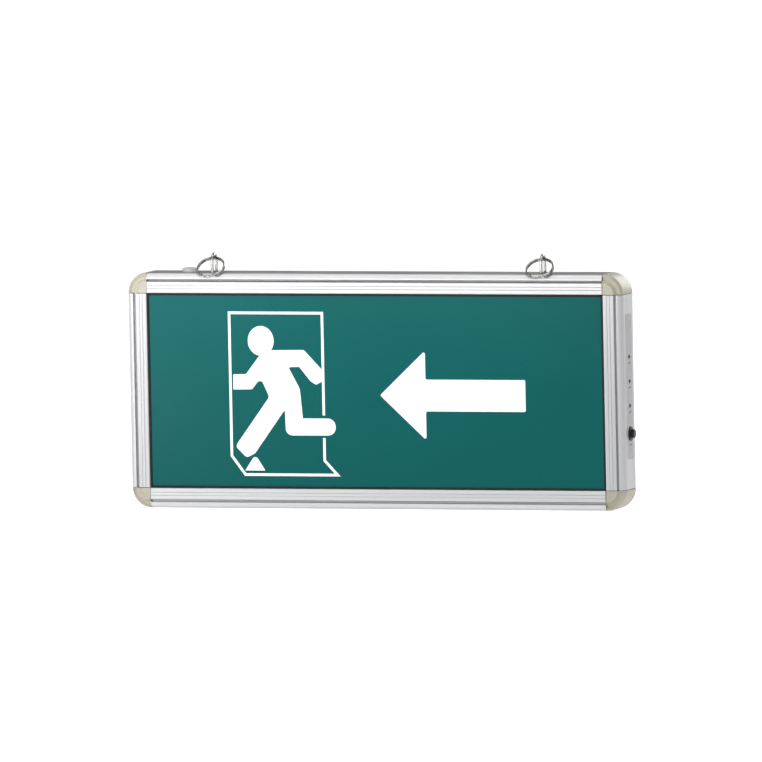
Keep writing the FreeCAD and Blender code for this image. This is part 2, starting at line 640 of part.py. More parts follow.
def split_ring_shape():
    """Two flat turns of wire side by side, joined by a short crossing at the bottom of the ring."""
    radius = size("ring_radius")
    half_jog = math.radians(size("ring_jog")) / 2
    half_step = turn_step / 2

    def at(share, height):
        angle = half_jog * share
        return Vector(radius * math.cos(angle), radius * math.sin(angle), height)

    def along(share):
        angle = half_jog * share
        return Vector(-math.sin(angle), math.cos(angle), 0)

    turns = [
        Part.Face(Part.Wire(Part.Circle(at(1, height), along(1), wire_r).toShape())).revolve(
            Vector(0, 0, 0), Vector(0, 0, 1), 360 - size("ring_jog"))
        for height in (-half_step, half_step)
    ]
    crossing = Part.BSplineCurve()
    shares = (-1, -0.5, 0, 0.5, 1)
    crossing.interpolate(Points=[at(share, half_step * math.sin(math.pi / 2 * share)) for share in shares],
                         InitialTangent=along(-1), FinalTangent=along(1))
    section = Part.Wire(Part.Circle(at(-1, -half_step), along(-1), wire_r).toShape())
    link = Part.Wire(crossing.toShape()).makePipeShell([section], True, False)
    return link.fuse(turns)


def make_ring(name, x):
    """The ring's own centre is placed so that its wire passes through the eye at the joint axis."""
    ring = document.addObject("Part::Feature", name)
    ring.Shape = split_ring_shape()
    # Own frame: +X to the crossing, +Z across the turns. It is turned to lean forward and down.
    down = Rotation(Vector(0, 0, 1), -90)
    tilt = Rotation(Vector(1, 0, 0), lean)
    centre = Vector(x, arch_y, axis_z) + tilt.multVec(Vector(0, -size("ring_radius"), 0))
    ring.Placement = Placement(centre, tilt.multiply(down))
    return keep(name, ring)


make_ring("left_ring", -eye_x)
make_ring("right_ring", eye_x)

# ---------------------------------------------------------------- cable bush
bush_out, rise = size("bush_radius"), size("bush_rise")
bush_start, bush_arc = arc_corner((rise, bush_out), (0, -1), (-1, 0), size("bush_round"))
bush_neck = size("bush_neck")
low_lip = -wall - size("bush_inner_rise")
make_turned("cable_bush", (low_lip, size("bush_bore")),
            [(rise, size("bush_bore")), bush_start, bush_arc, (0.0, bush_out), (0.0, bush_neck),
             (-wall, bush_neck), (-wall, size("bush_inner_radius")), (low_lip, size("bush_inner_radius"))],
            Placement(Vector(bush_x, 0, top), Rotation(Vector(0, 1, 0), -90)))

# ---------------------------------------------------------------- check and export
document.recompute()
for item in document.Objects:
    if "Invalid" in item.State or "Error" in item.State:
        raise RuntimeError(f"{item.Name} failed: {item.State}")
os.makedirs("parts", exist_ok=True)
for piece in pieces:
    shape = piece.Shape
    if shape.isNull() or not shape.isValid() or not shape.Solids:
        raise RuntimeError(f"{piece.Label} has no valid solid")
    shape.exportStep(f"parts/{piece.Label}.step")
    print(f"{piece.Label:22s} {len(shape.Solids):3d} solids {shape.Volume:12.2f} mm3")
print(f"ring axis at y {arch_y:.2f}, z {axis_z:.2f}; leans {lean:.2f} in front and {lean_on(1):.2f} behind")
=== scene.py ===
import math

import bmesh
import bpy
from mathutils import Matrix, Vector


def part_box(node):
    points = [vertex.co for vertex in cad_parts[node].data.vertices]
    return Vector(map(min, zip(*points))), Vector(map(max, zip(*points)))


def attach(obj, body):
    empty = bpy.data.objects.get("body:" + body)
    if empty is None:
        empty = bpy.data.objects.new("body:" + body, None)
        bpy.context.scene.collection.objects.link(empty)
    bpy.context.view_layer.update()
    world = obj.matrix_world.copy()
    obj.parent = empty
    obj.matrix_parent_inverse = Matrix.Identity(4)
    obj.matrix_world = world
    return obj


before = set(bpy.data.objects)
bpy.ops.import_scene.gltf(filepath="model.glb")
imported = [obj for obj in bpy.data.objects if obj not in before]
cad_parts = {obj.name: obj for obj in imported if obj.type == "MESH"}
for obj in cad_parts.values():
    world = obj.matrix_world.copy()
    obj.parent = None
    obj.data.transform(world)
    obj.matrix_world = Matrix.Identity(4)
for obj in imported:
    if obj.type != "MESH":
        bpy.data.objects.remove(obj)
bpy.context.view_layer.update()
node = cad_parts

# ------------------------------------------------------------------ Camera
# The light is seen from a little to its right and just above its middle, through a long lens
# held very slightly off level.
azimuth, elevation, roll = math.radians(18), math.radians(4.5), math.radians(-1.14)
aim = Vector((-0.0003, 0, 0.0878))
camera_distance = 15.0
camera_back = Vector((math.sin(azimuth) * math.cos(elevation),
                      -math.cos(azimuth) * math.cos(elevation), math.sin(elevation)))
level_right = Vector((math.cos(azimuth), math.sin(azimuth), 0))
level_up = camera_back.cross(level_right)
camera_right = level_right * math.cos(roll) + level_up * math.sin(roll)
camera_up = level_up * math.cos(roll) - level_right * math.sin(roll)
lens = bpy.data.cameras.new("camera")
lens.sensor_width = 36
lens.lens = 1028.3
camera = bpy.data.objects.new("camera", lens)
bpy.context.scene.collection.objects.link(camera)
turn = Matrix((camera_right, camera_up, camera_back)).transposed().to_4x4()
camera.matrix_world = Matrix.Translation(aim + camera_back * camera_distance) @ turn
bpy.context.scene.camera = camera
bpy.context.scene.view_settings.view_transform = "Standard"

# ------------------------------------------------------------------ Studio
# A white floor under a sky that is pure white to the eye; in reflections the room behind the light
# is darker. A wide soft lamp above the left of the face falls off across the frame. A low fill stands
# at the left, a large lamp hangs overhead and another stands behind.
sky = bpy.data.worlds.new("white_sky")
bpy.context.scene.world = sky
sky.use_nodes = True
tree = sky.node_tree
tree.nodes.clear()
seen = tree.nodes.new("ShaderNodeLightPath")
mirrored = tree.nodes.new("ShaderNodeMath")
mirrored.operation = "MAXIMUM"
tree.links.new(seen.outputs["Is Glossy Ray"], mirrored.inputs[0])
tree.links.new(seen.outputs["Is Transmission Ray"], mirrored.inputs[1])
direction = tree.nodes.new("ShaderNodeTexCoord")
split = tree.nodes.new("ShaderNodeSeparateXYZ")
tree.links.new(direction.outputs["Generated"], split.inputs["Vector"])
room = tree.nodes.new("ShaderNodeMapRange")
room.interpolation_type = "SMOOTHSTEP"
room.inputs["From Min"].default_value = -0.1
room.inputs["From Max"].default_value = 0.6
room.inputs["To Min"].default_value = 0.75
room.inputs["To Max"].default_value = 0.30
tree.links.new(split.outputs["Y"], room.inputs["Value"])
ambient = tree.nodes.new("ShaderNodeBackground")
ambient.inputs["Color"].default_value = (1, 1, 1, 1)
ambient.inputs["Strength"].default_value = 0.34
reflected = tree.nodes.new("ShaderNodeBackground")
reflected.inputs["Color"].default_value = (1, 1, 1, 1)
tree.links.new(room.outputs["Result"], reflected.inputs["Strength"])
backdrop = tree.nodes.new("ShaderNodeBackground")
backdrop.inputs["Color"].default_value = (1, 1, 1, 1)
backdrop.inputs["Strength"].default_value = 1.0
on_object = tree.nodes.new("ShaderNodeMixShader")
tree.links.new(mirrored.outputs[0], on_object.inputs["Fac"])
tree.links.new(ambient.outputs[0], on_object.inputs[1])
tree.links.new(reflected.outputs[0], on_object.inputs[2])
whole_sky = tree.nodes.new("ShaderNodeMixShader")
tree.links.new(seen.outputs["Is Camera Ray"], whole_sky.inputs["Fac"])
tree.links.new(on_object.outputs[0], whole_sky.inputs[1])
tree.links.new(backdrop.outputs[0], whole_sky.inputs[2])
ending = tree.nodes.new("ShaderNodeOutputWorld")
tree.links.new(whole_sky.outputs[0], ending.inputs["Surface"])

floor_reach = 9
floor_corners = [(x * floor_reach, y * floor_reach, 0) for x, y in ((-1, -1), (1, -1), (1, 1), (-1, 1))]
floor_mesh = bpy.data.meshes.new("floor")
floor_mesh.from_pydata(floor_corners, [], [(0, 1, 2, 3)])
floor = bpy.data.objects.new("floor", floor_mesh)
bpy.context.scene.collection.objects.link(floor)
floor_paint = bpy.data.materials.new("floor_white")
floor_paint.use_nodes = True
tree = floor_paint.node_tree
tree.nodes.clear()
seen = tree.nodes.new("ShaderNodeLightPath")
eye_or_gloss = tree.nodes.new("ShaderNodeMath")
eye_or_gloss.operation = "MAXIMUM"
tree.links.new(seen.outputs["Is Camera Ray"], eye_or_gloss.inputs[0])
tree.links.new(seen.outputs["Is Glossy Ray"], eye_or_gloss.inputs[1])
lift = tree.nodes.new("ShaderNodeMath")
lift.operation = "MULTIPLY_ADD"
lift.inputs[1].default_value = 0.55
lift.inputs[2].default_value = 0.25
tree.links.new(eye_or_gloss.outputs[0], lift.inputs[0])
chalk = tree.nodes.new("ShaderNodeBsdfDiffuse")
chalk.inputs["Color"].default_value = (0.8, 0.8, 0.8, 1)
glow = tree.nodes.new("ShaderNodeEmission")
glow.inputs["Color"].default_value = (1, 1, 1, 1)
tree.links.new(lift.outputs[0], glow.inputs["Strength"])
both = tree.nodes.new("ShaderNodeAddShader")
tree.links.new(chalk.outputs[0], both.inputs[0])
tree.links.new(glow.outputs[0], both.inputs[1])
ending = tree.nodes.new("ShaderNodeOutputMaterial")
tree.links.new(both.outputs[0], ending.inputs["Surface"])
floor_mesh.materials.append(floor_paint)


def soft_lamp(name, place, target, width, height, power):
    """A soft box at place that shines towards target."""
    lamp = bpy.data.lights.new(name, "AREA")
    lamp.shape = "RECTANGLE"
    lamp.size, lamp.size_y, lamp.energy = width, height, power
    box = bpy.data.objects.new(name, lamp)
    box.location = place
    box.rotation_euler = (Vector(target) - Vector(place)).to_track_quat("-Z", "Y").to_euler()
    bpy.context.scene.collection.objects.link(box)


soft_lamp("key_lamp", (-0.160, -0.260, 0.201), (-0.105, 0, 0.366), width=0.78, height=0.19, power=0.90)
soft_lamp("fill_lamp", (-0.45, -0.38, 0.04), (-0.17, 0, 0.01), width=0.4, height=0.06, power=0.50)
soft_lamp("high_lamp", (0.1, -0.25, 1.3), (0, -0.02, 0.16), width=0.9, height=0.5, power=4.2)
soft_lamp("back_lamp", (0.4, 1.2, 0.5), (0, 0, 0.08), width=0.6, height=0.6, power=6.0)

# ------------------------------------------------------------------ Frame rails
# Four lengths of extruded aluminium profile, cut square and slid over the corner mouldings.
# The metal is satin anodised, and faint draw lines run along each length.


def new_finish(name, colour, roughness, metallic=0.0, specular=0.5):
    """A material with its shader, the node tree and the object's own coordinates."""
    finish = bpy.data.materials.new(name)
    finish.use_nodes = True
    tree = finish.node_tree
    shader = tree.nodes["Principled BSDF"]
    shader.inputs["Base Color"].default_value = (*colour, 1)
    shader.inputs["Roughness"].default_value = roughness
    shader.inputs["Metallic"].default_value = metallic
    shader.inputs["Specular IOR Level"].default_value = specular
    coordinates = tree.nodes.new("ShaderNodeTexCoord")
    return finish, tree, shader, coordinates.outputs["Object"]


def grain(tree, coordinates, per_metre, detail=2.0, stretch=(1, 1, 1)):
    """A noise pattern of the given fineness, drawn out along an axis by a small stretch factor."""
    mapping = tree.nodes.new("ShaderNodeMapping")
    mapping.inputs["Scale"].default_value = stretch
    tree.links.new(coordinates, mapping.inputs["Vector"])
    noise = tree.nodes.new("ShaderNodeTexNoise")
    noise.inputs["Scale"].default_value = per_metre
    noise.inputs["Detail"].default_value = detail
    tree.links.new(mapping.outputs["Vector"], noise.inputs["Vector"])
    return noise.outputs["Fac"]


def drive(tree, pattern, socket, low, high):
    """The pattern moves a socket's value between low and high."""
    spread = tree.nodes.new("ShaderNodeMapRange")
    spread.inputs["From Min"].default_value = 0.3
    spread.inputs["From Max"].default_value = 0.7
    spread.inputs["To Min"].default_value = low
    spread.inputs["To Max"].default_value = high
    tree.links.new(pattern, spread.inputs["Value"])
    tree.links.new(spread.outputs["Result"], socket)


def shade(tree, pattern, socket, dark, light):
    """The pattern moves a colour socket between two colours."""
    ramp = tree.nodes.new("ShaderNodeValToRGB")
    ramp.color_ramp.elements[0].position = 0.3
    ramp.color_ramp.elements[0].color = (*dark, 1)
    ramp.color_ramp.elements[1].position = 0.7
    ramp.color_ramp.elements[1].color = (*light, 1)
    tree.links.new(pattern, ramp.inputs["Fac"])
    tree.links.new(ramp.outputs["Color"], socket)


def relief(tree, shader, pattern, height, strength, before=None):
    """The pattern raises the surface by up to height metres."""
    bump = tree.nodes.new("ShaderNodeBump")
    bump.inputs["Distance"].default_value = height
    bump.inputs["Strength"].default_value = strength
    tree.links.new(pattern, bump.inputs["Height"])
    if before:
        tree.links.new(before, bump.inputs["Normal"])
    tree.links.new(bump.outputs["Normal"], shader.inputs["Normal"])
    return bump.outputs["Normal"]


def paint(name, finish):
    """Gives a CAD node its finish."""
    for holder in node[name].material_slots:
        holder.material = finish


# A Mix node has several sockets of each name, so its colour sockets are picked by number.
first_colour, second_colour, mixed_colour = 6, 7, 2


def paint_crevice_shade(tree, shader, reach, deepest):
    """Darkens the base colour in grooves and seams narrower than reach metres, as painted shade."""
    shelter = tree.nodes.new("ShaderNodeAmbientOcclusion")
    shelter.samples = 8
    shelter.inputs["Distance"].default_value = reach
    depth = tree.nodes.new("ShaderNodeMapRange")
    depth.inputs["From Min"].default_value = 0.30
    depth.inputs["From Max"].default_value = 0.80
    depth.inputs["To Min"].default_value = deepest
    depth.inputs["To Max"].default_value = 1.0
    tree.links.new(shelter.outputs["AO"], depth.inputs["Value"])
    mix = tree.nodes.new("ShaderNodeMix")
    mix.data_type = "RGBA"
    mix.blend_type = "MULTIPLY"
    mix.inputs["Factor"].default_value = 1.0
    clean = shader.inputs["Base Color"].links[0].from_socket
    tree.links.new(clean, mix.inputs[first_colour])
    tree.links.new(depth.outputs["Result"], mix.inputs[second_colour])
    tree.links.new(mix.outputs[mixed_colour], shader.inputs["Base Color"])


def anodised(name, along, dark, light, groove_shade):
    """Satin aluminium whose draw lines run along one axis, with painted shade in its grooves and seams."""
    finish, tree, shader, place = new_finish(name, light, 0.42, metallic=0.35, specular=0.35)
    fine = [0.012 if axis == along else 1.0 for axis in range(3)]
    coarse = [0.02 if axis == along else 1.0 for axis in range(3)]
    lines = grain(tree, place, 2600, detail=3.0, stretch=fine)
    bands = grain(tree, place, 420, stretch=coarse)
    shade(tree, bands, shader.inputs["Base Color"], dark, light)
    paint_crevice_shade(tree, shader, reach=0.003, deepest=groove_shade)
    drive(tree, lines, shader.inputs["Roughness"], 0.36, 0.50)
    drawn = relief(tree, shader, lines, 0.000012, 0.5)
    relief(tree, shader, grain(tree, place, 5200), 0.000006, 0.35, drawn)
    return finish


x_axis, z_axis = 0, 2
# One aluminium in several greys: the left and right rails get a darker copy, as painted shade.
lengthways = anodised("anodised_aluminium_level", x_axis,
                      dark=(0.66, 0.66, 0.67), light=(0.72, 0.72, 0.73), groove_shade=0.85)
upright_painted_shade = anodised("anodised_aluminium_upright", z_axis,
                   dark=(0.57, 0.57, 0.585), light=(0.63, 0.63, 0.645), groove_shade=1.0)
paint("bottom_rail", lengthways)

# The top rail is painted a lighter grey than the bottom rail, as painted light, and its grooves much
# darker, as painted shade. Its upper face is painted dark grey in patches: partly a film settled on
# it, partly painted shade.
dusty_painted_light_and_shade = anodised("anodised_aluminium_dusty", x_axis,
                 dark=(0.70, 0.70, 0.71), light=(0.77, 0.77, 0.78), groove_shade=0.40)
tree = dusty_painted_light_and_shade.node_tree
shader = tree.nodes["Principled BSDF"]
# Faces that look up are mixed towards dark grey patches: painted shade, with a settled film.
facing = tree.nodes.new("ShaderNodeNewGeometry")
split = tree.nodes.new("ShaderNodeSeparateXYZ")
tree.links.new(facing.outputs["Normal"], split.inputs["Vector"])
upward = tree.nodes.new("ShaderNodeMapRange")
upward.inputs["From Min"].default_value = 0.86
upward.inputs["From Max"].default_value = 0.98
tree.links.new(split.outputs["Z"], upward.inputs["Value"])
upward_dust_and_shade = tree.nodes.new("ShaderNodeMix")
upward_dust_and_shade.data_type = "RGBA"
tree.links.new(upward.outputs["Result"], upward_dust_and_shade.inputs["Factor"])
tree.links.new(shader.inputs["Base Color"].links[0].from_socket, upward_dust_and_shade.inputs[first_colour])
place = tree.nodes.new("ShaderNodeTexCoord").outputs["Object"]
patches = grain(tree, place, 70, detail=4.0, stretch=(0.35, 1, 1))
shade(tree, patches, upward_dust_and_shade.inputs[second_colour], (0.22, 0.22, 0.22), (0.44, 0.44, 0.44))
tree.links.new(upward_dust_and_shade.outputs[mixed_colour], shader.inputs["Base Color"])
paint("top_rail", dusty_painted_light_and_shade)
# The left and right rails are painted darker than the level rails, as painted shade.
paint("left_rail", upright_painted_shade)
paint("right_rail", upright_painted_shade)

# ------------------------------------------------------------------ Corner mouldings
# Each corner is one piece of warm grey-beige ABS. The tool leaves a fine spark-eroded texture, and
# the bead and cove of the face are part of the same moulding.


def mottle_and_painted_reflection(tree, shader, place, per_metre, dark, light, detail=2.0):
    """Lets the base colour wander between two shades: a random tone, and on the plated eyes and rings,
    painted reflections.
    """
    shade(tree, grain(tree, place, per_metre, detail), shader.inputs["Base Color"], dark, light)


def wear(tree, shader, place, per_metre, shiny, dull, detail=2.0):
    """Lets the roughness wander between two values."""
    drive(tree, grain(tree, place, per_metre, detail), shader.inputs["Roughness"], shiny, dull)


beige, tree, shader, place = new_finish("corner_abs", (0.60, 0.57, 0.45), 0.42, specular=0.4)
mottle_and_painted_reflection(tree, shader, place, 60, (0.56, 0.53, 0.42), (0.61, 0.58, 0.475))
wear(tree, shader, place, 900, 0.36, 0.52)
relief(tree, shader, grain(tree, place, 3800, 3.0), 0.00002, 0.35)
for corner in ("corner_top_left", "corner_top_right", "corner_bottom_left", "corner_bottom_right"):
    paint(corner, beige)

# ------------------------------------------------------------------ Legend panel
# A sheet of green acrylic slid into the rails' slot. The colour is in the sheet; its face is
# satin, with a very slight waviness from casting.
acrylic, tree, shader, place = new_finish("green_acrylic", (0.0035, 0.134, 0.129), 0.30, specular=0.10)
mottle_and_painted_reflection(tree, shader, place, 9, (0.003, 0.128, 0.123), (0.004, 0.140, 0.135))
wear(tree, shader, place, 700, 0.26, 0.36, detail=3.0)
waves = relief(tree, shader, grain(tree, place, 25, 1.0), 0.0002, 0.15)
relief(tree, shader, grain(tree, place, 2200), 0.000008, 0.3, waves)
paint("legend_panel", acrylic)

# ------------------------------------------------------------------ Legend
# The way-out sign is screen-printed on the panel in one thick coat of white ink: a plain runner in
# a doorway, and an arrow. The ink stands just under a tenth of a millimetre proud, and is given a
# faint painted glow.
ink, tree, shader, place = new_finish("white_ink_painted_glow", (0.84, 0.87, 0.865), 0.5, specular=0.2)
mottle_and_painted_reflection(tree, shader, place, 40, (0.82, 0.85, 0.845), (0.86, 0.89, 0.885))
# The emission is a painted glow that brightens the ink.
shader.inputs["Emission Color"].default_value = (1, 1, 1, 1)
shader.inputs["Emission Strength"].default_value = 0.36
wear(tree, shader, place, 1200, 0.42, 0.6)
relief(tree, shader, grain(tree, place, 3000, 3.0), 0.00001, 0.4)


def new_piece(name, mesh, finish, body):
    """Links a finished mesh, gives it its material, body and material slot."""
    piece = bpy.data.objects.new(name, mesh)
    bpy.context.scene.collection.objects.link(piece)
    mesh.materials.clear()
    mesh.materials.append(finish)
    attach(piece, body)


def stroke(points, width):
    """The outline of an open line of even width, its corners mitred. Points are pairs in millimetres."""
    sides = [[], []]
    sharpest_mitre = 0.2
    for index, here in enumerate(points):
        here = Vector(here)
        ahead = (Vector(points[index + 1]) - here).normalized() if index + 1 < len(points) else None
        behind = (here - Vector(points[index - 1])).normalized() if index else None
        ahead, behind = ahead or behind, behind or ahead
        across = Vector((-(ahead.y + behind.y), ahead.x + behind.x)).normalized()
        reach = width / 2 / max(sharpest_mitre, across.dot(Vector((-ahead.y, ahead.x))))
        sides[0].append(here + across * reach)
        sides[1].append(here - across * reach)
    return [tuple(p) for p in sides[0]] + [tuple(p) for p in reversed(sides[1])]


def cut_sheet(outlines, thickness, onto):
    """A thin flat sheet cut to closed outlines in millimetres, laid into place by a matrix."""
    pattern = bpy.data.curves.new("pattern", "CURVE")
    pattern.dimensions = "2D"
    pattern.fill_mode = "BOTH"
    pattern.extrude = thickness / 2
    for outline in outlines:
        edge = pattern.splines.new("POLY")
        edge.points.add(len(outline) - 1)
        for point, (a, b) in zip(edge.points, outline):
            point.co = (a, b, 0, 1)
        edge.use_cyclic_u = True
    cutter = bpy.data.objects.new("cutter", pattern)
    bpy.context.scene.collection.objects.link(cutter)
    bpy.context.view_layer.update()
    flat = bpy.data.meshes.new_from_object(cutter.evaluated_get(bpy.context.evaluated_depsgraph_get()))
    bpy.data.objects.remove(cutter)
    sheet = bmesh.new()
    sheet.from_mesh(flat)
    bmesh.ops.remove_doubles(sheet, verts=sheet.verts[:], dist=0.001)
    bmesh.ops.recalc_face_normals(sheet, faces=sheet.faces[:])
    sheet.transform(onto @ Matrix.Scale(0.001, 4))
    sheet.to_mesh(flat)
    sheet.free()
    return flat


def rounded(corners, steps=6):
    """A closed outline from corners (a, b, radius), each rounded by an arc."""
    outline = []
    nearly_straight = math.radians(88)
    for index, (a, b, radius) in enumerate(corners):
        here = Vector((a, b))
        to_last = (Vector(corners[index - 1][:2]) - here).normalized()
        to_next = (Vector(corners[(index + 1) % len(corners)][:2]) - here).normalized()
        half = to_last.angle(to_next) / 2
        if radius == 0 or half > nearly_straight:
            outline.append((a, b))
            continue
        setback = radius / math.tan(half)
        centre = here + (to_last + to_next).normalized() * (radius / math.sin(half))
        begin = here + to_last * setback - centre
        end = here + to_next * setback - centre
        sweep = begin.angle_signed(end)
        for step in range(steps + 1):
            spin = -sweep * step / steps
            outline.append((centre.x + begin.x * math.cos(spin) - begin.y * math.sin(spin),
                            centre.y + begin.x * math.sin(spin) + begin.y * math.cos(spin)))
    return outline


def oval(centre, across, up, count):
    """A closed oval outline of count points, from its centre and its two radii."""
    return [(centre[0] + across * math.cos(math.tau * n / count),
             centre[1] + up * math.sin(math.tau * n / count)) for n in range(count)]


rail_face = 14.0
half_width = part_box("right_rail")[1].x * 1000
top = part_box("top_rail")[1].z * 1000
edge_x, edge_low, edge_high = half_width - rail_face, rail_face, top - rail_face
panel_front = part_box("legend_panel")[0].y * 1000
doorway_line = 1.85
doorway = stroke([(126.95, 50.8), (126.95, 121.5), (59.6, 121.5), (59.6, 22.6), (69.3, 9.6),
                  (136.2, 9.6), (126.95, 19.6), (126.95, 35.2)], doorway_line)
head = oval(centre=(82.2, 102.2), across=9.4, up=10.3, count=48)
runner = rounded([
    (90.1, 95.8, 1.5), (113.4, 96.0, 2.5), (126.3, 82.2, 2.0), (126.6, 74.4, 2.4), (121.7, 72.0, 1.0),
    (117.6, 74.6, 1.0), (109.8, 84.3, 1.5), (101.9, 84.1, 0.8), (109.9, 69.1, 8.0), (111.7, 48.7, 0.0),
    (135.4, 48.7, 5.6), (135.4, 36.9, 5.6), (99.2, 36.8, 5.0), (98.8, 54.8, 0.6), (76.6, 24.4, 2.0),
    (70.4, 21.2, 3.0), (62.4, 29.2, 2.6), (87.6, 63.4, 3.0), (81.7, 76.6, 2.5), (75.2, 68.6, 2.0),
    (61.6, 68.4, 0.8), (61.7, 79.0, 0.8), (71.0, 79.1, 2.0), (80.9, 91.8, 3.0)])
step_mark = rounded([(69.1, 12.4, 0.3), (83.8, 12.4, 0.3), (76.6, 23.6, 2.2)])
arrow = rounded([(168, 65, 1.0), (201, 96, 1.0), (201, 76, 1.2), (273, 76, 1.0), (273, 54, 1.0),
                 (201, 54, 1.2), (201, 34, 1.0)])
# The middle of the coat lies just in front of the panel, so that its back sinks in. The head overlaps
# the runner's shoulder, so its coat is a little thicker.
coat = 0.1
head_coat = 1.4 * coat
coat_middle = (panel_front - coat / 4) / 1000
onto_panel = Matrix(((1, 0, 0, -edge_x / 1000), (0, 0, -1, coat_middle), (0, 1, 0, edge_low / 1000),
                     (0, 0, 0, 1)))
for name, outline, thickness in (
        ("doorway_print", doorway, coat), ("runner_print", runner, coat), ("head_print", head, head_coat),
        ("step_print", step_mark, coat), ("arrow_print", arrow, coat)):
    new_piece(name, cut_sheet([outline], thickness, onto_panel), ink, "housing")

# ------------------------------------------------------------------ Glazing gasket
# A thin black rubber bead is pressed in between the panel and the lips of the rails, and runs round
# the whole opening in one length.
rubber, tree, shader, place = new_finish("black_rubber", (0.012, 0.014, 0.014), 0.6, specular=0.25)
mottle_and_painted_reflection(tree, shader, place, 300, (0.008, 0.010, 0.010), (0.020, 0.023, 0.023))
wear(tree, shader, place, 1500, 0.5, 0.75)
relief(tree, shader, grain(tree, place, 4000), 0.00001, 0.4)


def new_tree(name, sizes):
    """An empty geometry tree with one number input for each size, and one geometry output."""
    tree = bpy.data.node_groups.new(name, "GeometryNodeTree")
    for size in sizes:
        tree.interface.new_socket(size, in_out="INPUT", socket_type="NodeSocketFloat")
    tree.interface.new_socket("Geometry", in_out="OUTPUT", socket_type="NodeSocketGeometry")
    return tree, tree.nodes.new("NodeGroupInput").outputs, tree.nodes.new("NodeGroupOutput").inputs


def grow(name, tree, values, finish, body):
    """Runs a geometry tree with its inputs set and keeps the result as one plain mesh."""
    maker = bpy.data.objects.new(name + "_maker", bpy.data.meshes.new(name + "_maker"))
    bpy.context.scene.collection.objects.link(maker)
    modifier = maker.modifiers.new("make", "NODES")
    modifier.node_group = tree
    for item in tree.interface.items_tree:
        if item.in_out == "INPUT" and item.name in values:
            modifier[item.identifier] = values[item.name]
    bpy.context.view_layer.update()
    graph = bpy.context.evaluated_depsgraph_get()
    mesh = bpy.data.meshes.new_from_object(maker.evaluated_get(graph))
    maker.modifiers.remove(modifier)
    bpy.data.objects.remove(maker)
    new_piece(name, mesh, finish, body)


def finish_tree(tree, geometry, outputs, finish):
    """Ends a geometry tree: real geometry, with its material."""
    real = tree.nodes.new("GeometryNodeRealizeInstances")
    tree.links.new(geometry, real.inputs["Geometry"])
    coloured = tree.nodes.new("GeometryNodeSetMaterial")
    coloured.inputs["Material"].default_value = finish
    tree.links.new(real.outputs["Geometry"], coloured.inputs["Geometry"])
    tree.links.new(coloured.outputs["Geometry"], outputs["Geometry"])


tree, sizes, ends = new_tree("gasket_bead", ["Length", "Rise", "Corner", "Bead", "Height", "Depth"])
run = tree.nodes.new("GeometryNodeCurvePrimitiveQuadrilateral")
tree.links.new(sizes["Length"], run.inputs["Width"])
tree.links.new(sizes["Rise"], run.inputs["Height"])
bend = tree.nodes.new("GeometryNodeFilletCurve")
bend.mode = "POLY"
bend.inputs["Count"].default_value = 4
tree.links.new(run.outputs["Curve"], bend.inputs["Curve"])
tree.links.new(sizes["Corner"], bend.inputs["Radius"])
stand = tree.nodes.new("GeometryNodeTransform")
stand.inputs["Rotation"].default_value = (math.radians(90), 0, 0)
centre = tree.nodes.new("ShaderNodeCombineXYZ")
tree.links.new(sizes["Depth"], centre.inputs["Y"])
tree.links.new(sizes["Height"], centre.inputs["Z"])
tree.links.new(centre.outputs["Vector"], stand.inputs["Translation"])
tree.links.new(bend.outputs["Curve"], stand.inputs["Geometry"])
section = tree.nodes.new("GeometryNodeCurvePrimitiveCircle")
section.inputs["Resolution"].default_value = 10
tree.links.new(sizes["Bead"], section.inputs["Radius"])
bead = tree.nodes.new("GeometryNodeCurveToMesh")
tree.links.new(stand.outputs["Geometry"], bead.inputs["Curve"])
tree.links.new(section.outputs["Curve"], bead.inputs["Profile Curve"])
finish_tree(tree, bead.outputs["Mesh"], ends, rubber)
bead_radius, bead_bend = 0.0009, 0.0008
bead_inset = 0.75 * bead_radius
grow("panel_gasket", tree, {
    "Length": 2 * edge_x / 1000 - 2 * bead_inset,
    "Rise": (edge_high - edge_low) / 1000 - 2 * bead_inset,
    "Corner": bead_bend, "Bead": bead_radius, "Height": (edge_low + edge_high) / 2000,
    "Depth": panel_front / 1000}, rubber, "housing")

# ------------------------------------------------------------------ Side label strip
# A strip of pale grey polyester film is stuck down the right side, punched for the three
# indicators and the test button. It carries only plain bars.
film, tree, shader, place = new_finish("grey_film", (0.50, 0.50, 0.515), 0.42, specular=0.35)
mottle_and_painted_reflection(tree, shader, place, 150, (0.48, 0.48, 0.495), (0.52, 0.52, 0.535))
wear(tree, shader, place, 1800, 0.36, 0.5)
relief(tree, shader, grain(tree, place, 3500), 0.000008, 0.4)
film_ink, tree, shader, place = new_finish("film_ink", (0.05, 0.05, 0.052), 0.5, specular=0.3)
mottle_and_painted_reflection(tree, shader, place, 2200, (0.035, 0.035, 0.037), (0.08, 0.08, 0.083), detail=3.0)
relief(tree, shader, grain(tree, place, 3500), 0.000008, 0.4)


def mid_height(name):
    """The height of a CAD node's middle in millimetres."""
    low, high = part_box(name)
    return (low.z + high.z) / 2 * 1000


def bar(half_length, foot, slant, breadth):
    """The outline of a bar across the strip, its right end higher by slant."""
    return [(-half_length, foot), (half_length, foot + slant),
            (half_length, foot + slant + breadth), (-half_length, foot + breadth)]


